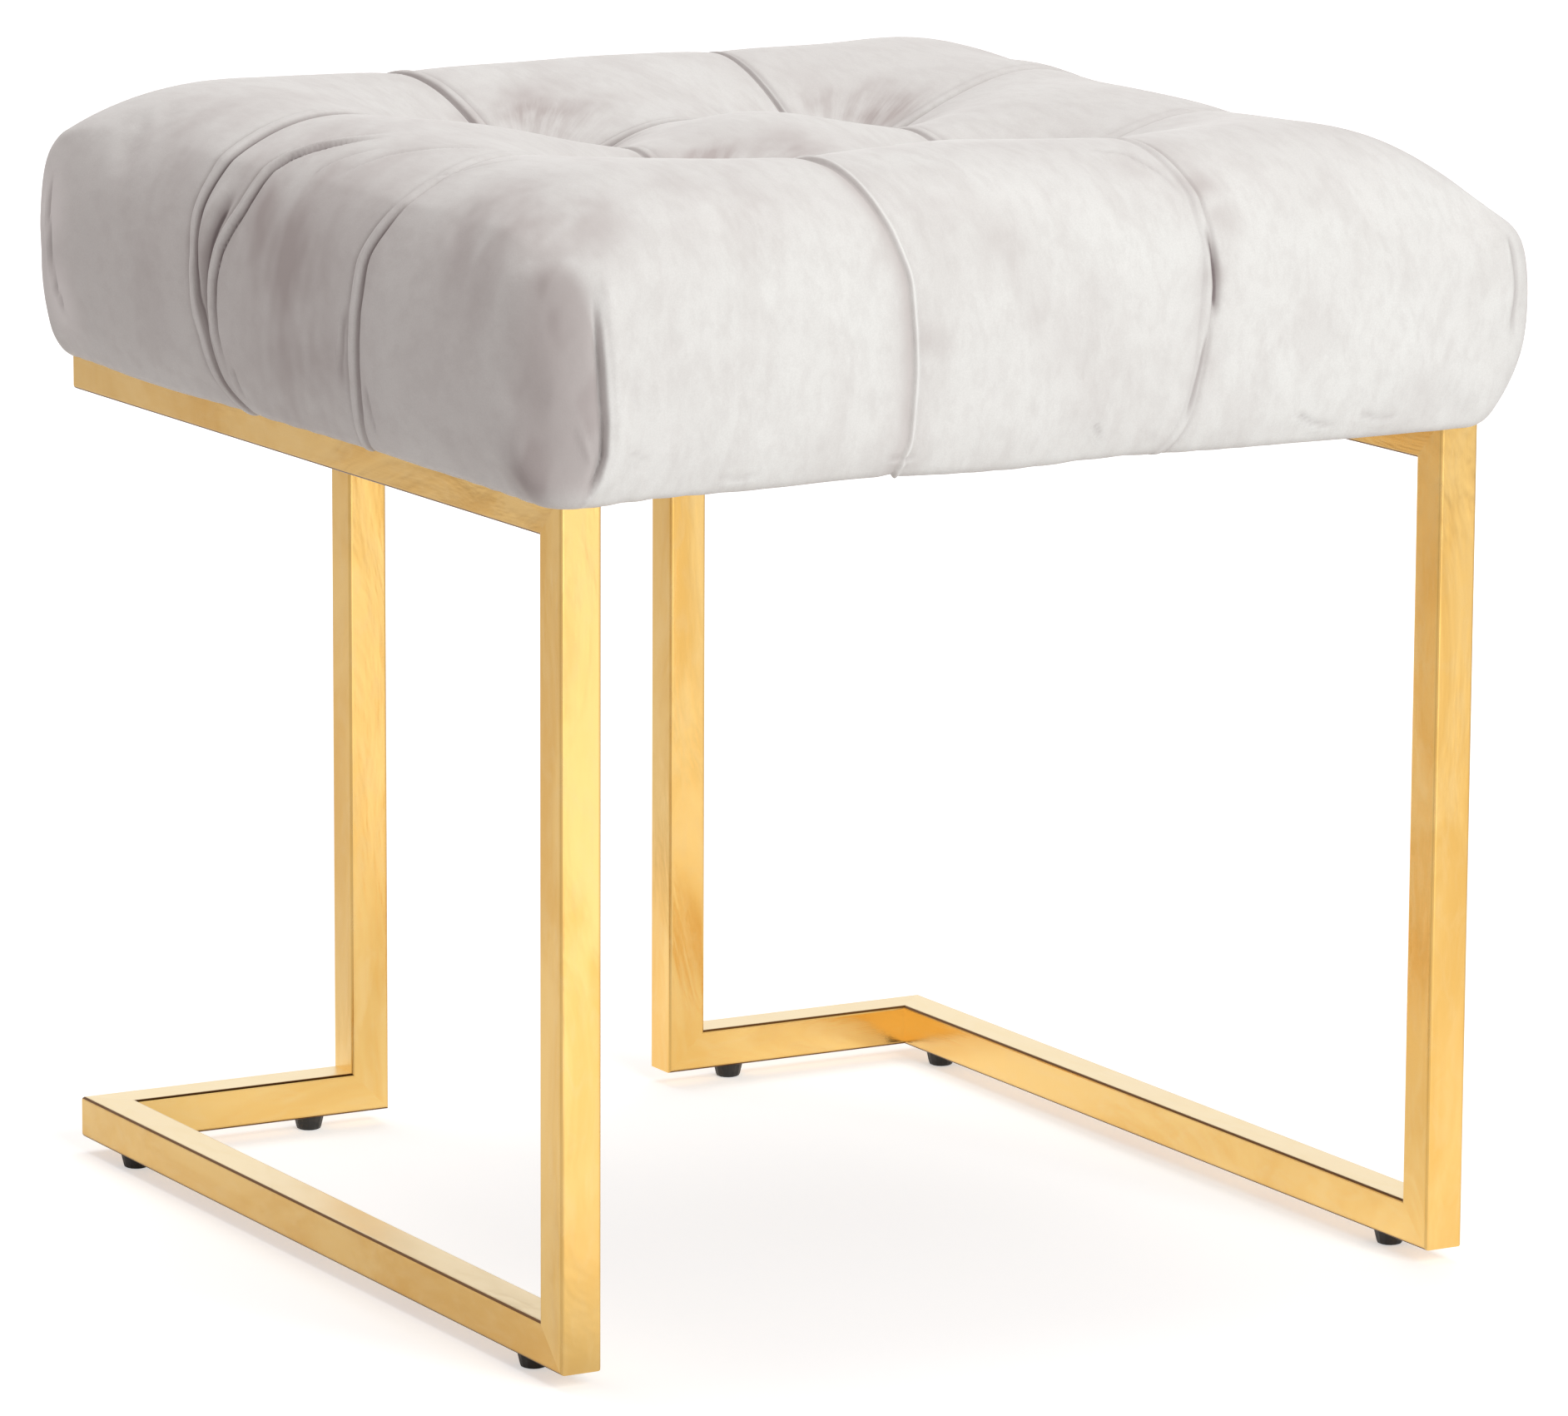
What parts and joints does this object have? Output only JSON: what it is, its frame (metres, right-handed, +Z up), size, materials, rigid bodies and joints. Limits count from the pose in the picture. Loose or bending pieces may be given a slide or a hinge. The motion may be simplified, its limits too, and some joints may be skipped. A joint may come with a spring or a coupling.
{
  "type": "tufted stool",
  "caption": "Low square stool: deep tufted velvet cushion on two mirrored loop frames of polished gold square tube, with small black feet.",
  "frame": {"origin": "on the floor under the middle of the stool", "axes": "+Z up, +Y towards the back where the two inner legs stand, +X to the right of someone who looks at the front from outside"},
  "size_m": [0.481, 0.504, 0.4949],
  "materials": {
    "gold_tube": "polished",
    "velvet": "matte",
    "foam": "matte",
    "plywood": "matte",
    "dust_cloth": "matte",
    "black_plastic": "satin",
    "zinc_steel": "satin",
    "twine_fibre": "matte"
  },
  "bodies": {
    "root": {"left_front_leg": "gold_tube", "left_side_rail_top": "gold_tube", "left_rear_rail_top": "gold_tube", "left_rear_leg": "gold_tube", "left_rear_rail_bottom": "gold_tube", "left_side_rail_bottom": "gold_tube", "right_front_leg": "gold_tube", "right_side_rail_top": "gold_tube", "right_rear_rail_top": "gold_tube", "right_rear_leg": "gold_tube", "right_rear_rail_bottom": "gold_tube", "right_side_rail_bottom": "gold_tube", "left_front_foot": "black_plastic", "left_rear_foot": "black_plastic", "left_return_foot": "black_plastic", "right_front_foot": "black_plastic", "right_rear_foot": "black_plastic", "right_return_foot": "black_plastic", "left_front_washer": "zinc_steel", "left_front_screw": "zinc_steel", "left_front_insert": "zinc_steel", "left_rear_washer": "zinc_steel", "left_rear_screw": "zinc_steel", "left_rear_insert": "zinc_steel", "left_return_washer": "zinc_steel", "left_return_screw": "zinc_steel", "left_return_insert": "zinc_steel", "right_front_washer": "zinc_steel", "right_front_screw": "zinc_steel", "right_front_insert": "zinc_steel", "right_rear_washer": "zinc_steel", "right_rear_screw": "zinc_steel", "right_rear_insert": "zinc_steel", "right_return_washer": "zinc_steel", "right_return_screw": "zinc_steel", "right_return_insert": "zinc_steel", "seat_board": "plywood", "dust_cover": "dust_cloth", "foam_pad": "foam", "velvet_cover": "velvet", "front_left_button": "velvet", "front_left_twine": "twine_fibre", "front_left_tie_washer": "black_plastic", "front_right_button": "velvet", "front_right_twine": "twine_fibre", "front_right_tie_washer": "black_plastic", "rear_left_button": "velvet", "rear_left_twine": "twine_fibre", "rear_left_tie_washer": "black_plastic", "rear_right_button": "velvet", "rear_right_twine": "twine_fibre", "rear_right_tie_washer": "black_plastic"}
  },
  "joints": []
}
